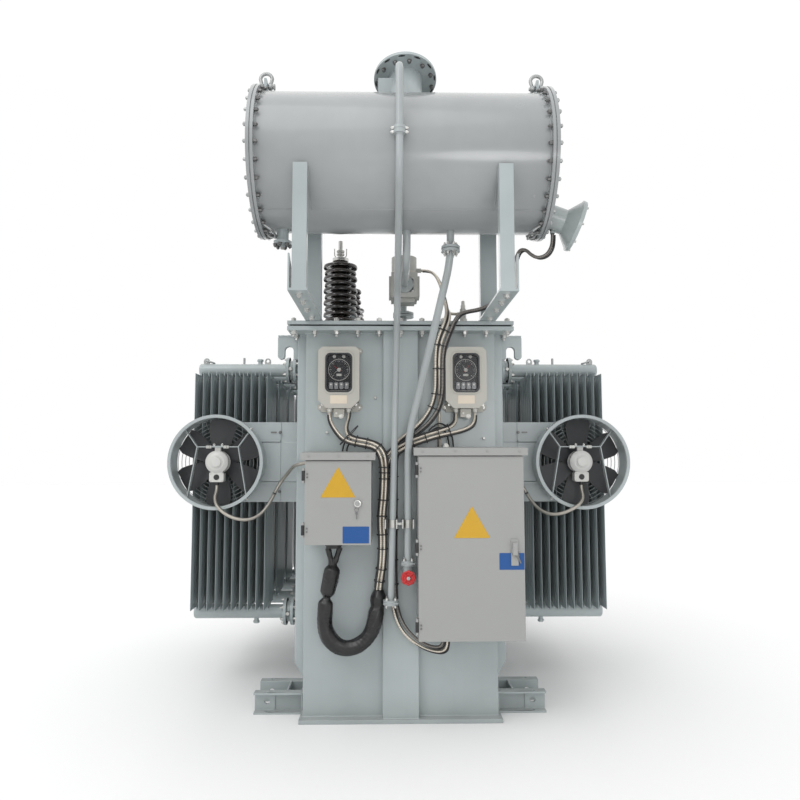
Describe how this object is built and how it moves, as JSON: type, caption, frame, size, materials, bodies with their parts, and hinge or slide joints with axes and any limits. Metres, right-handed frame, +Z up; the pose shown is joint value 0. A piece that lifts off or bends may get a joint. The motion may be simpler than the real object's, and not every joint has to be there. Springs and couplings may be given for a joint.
{
  "type": "power transformer",
  "caption": "Oil-filled power transformer with a conservator, radiators, cooling fans, bushings, gauges and control cabinets on a tank with skids.",
  "frame": {"origin": "on the floor, under the middle of the tank", "axes": "+Z up, -Y towards the front with the cabinets and gauges, +X to the right seen from the front"},
  "size_m": [2.506, 3.1329, 3.1838],
  "materials": {
    "paint": "semi-gloss",
    "fan_paint": "semi-gloss",
    "guard_wire": "semi-gloss",
    "blade": "satin",
    "cabinet_paint": "satin",
    "gauge_case": "satin",
    "gauge_glass": "clear",
    "relay_paint": "satin",
    "level_gauge_paint": "satin",
    "plated_steel": "satin",
    "gasket": "matt",
    "insulator": "glazed",
    "handwheel": "gloss",
    "gland": "matt",
    "lead_jacket": "matt",
    "sleeve": "gloss"
  },
  "bodies": {
    "transformer": {"tank_walls": "paint", "base_plate": "paint", "end_stiffeners": "paint", "side_stiffeners": "paint", "lifting_hooks": "paint", "tank_rim": "paint", "cover_plate": "paint", "skids": "paint", "right_radiators": "paint", "left_radiators": "paint", "radiator_valves": "paint", "conservator_shell": "paint", "conservator_ends": "paint", "conservator_supports": "paint", "vent": "paint", "conservator_fittings": "paint", "breather_pipe": "paint", "drain_pipe": "paint", "drain_valve": "paint", "relay_pipes": "paint", "pipe_clamps": "paint", "cabinet_brackets": "paint", "fan_brackets": "paint", "fan_shrouds": "fan_paint", "fan_frames": "fan_paint", "fan_motors": "fan_paint", "fan_guards": "guard_wire", "left_cabinet": "cabinet_paint", "right_cabinet": "cabinet_paint", "temperature_gauges": "gauge_case", "gauge_windows": "gauge_glass", "gas_relay": "relay_paint", "oil_level_gauge": "level_gauge_paint", "thermometer_pocket": "plated_steel", "cover_gasket": "gasket", "hv_bushings": "insulator", "lv_bushings": "insulator", "cable_glands": "gland", "left_gauge_lead_outer": "lead_jacket", "left_gauge_lead_inner": "lead_jacket", "right_gauge_lead_inner": "lead_jacket", "right_gauge_lead_outer": "lead_jacket", "relay_lead": "lead_jacket", "thermometer_lead": "lead_jacket", "level_gauge_lead": "lead_jacket", "left_fan_lead": "lead_jacket", "right_fan_lead": "lead_jacket", "cable_sleeve": "sleeve"},
    "left_cabinet_door": {"left_cabinet_door": "cabinet_paint"},
    "right_cabinet_door": {"right_cabinet_door": "cabinet_paint"},
    "left_fan_rotor": {"left_fan_rotor": "blade"},
    "right_fan_rotor": {"right_fan_rotor": "blade"},
    "valve_wheel": {"valve_wheel": "handwheel"}
  },
  "joints": [
    {"name": "left_door_hinge", "type": "hinge", "parent": "transformer", "child": "left_cabinet_door", "pos_m": [-0.475, -1.343, 1.0955], "axis": [0, 0, -1], "range_deg": [0, 110]},
    {"name": "right_door_hinge", "type": "hinge", "parent": "transformer", "child": "right_cabinet_door", "pos_m": [0.073, -1.388, 0.8845], "axis": [0, 0, -1], "range_deg": [0, 110]},
    {"name": "left_fan_spin", "type": "hinge", "parent": "transformer", "child": "left_fan_rotor", "pos_m": [-0.996, -0.845, 1.287], "axis": [0, 1, 0], "continuous": true},
    {"name": "right_fan_spin", "type": "hinge", "parent": "transformer", "child": "right_fan_rotor", "pos_m": [0.996, -0.845, 1.287], "axis": [0, 1, 0], "continuous": true},
    {"name": "valve_wheel_turn", "type": "hinge", "parent": "transformer", "child": "valve_wheel", "pos_m": [0.034, -1.317, 0.731], "axis": [0, -1, 0], "range_deg": [0, 720]}
  ]
}
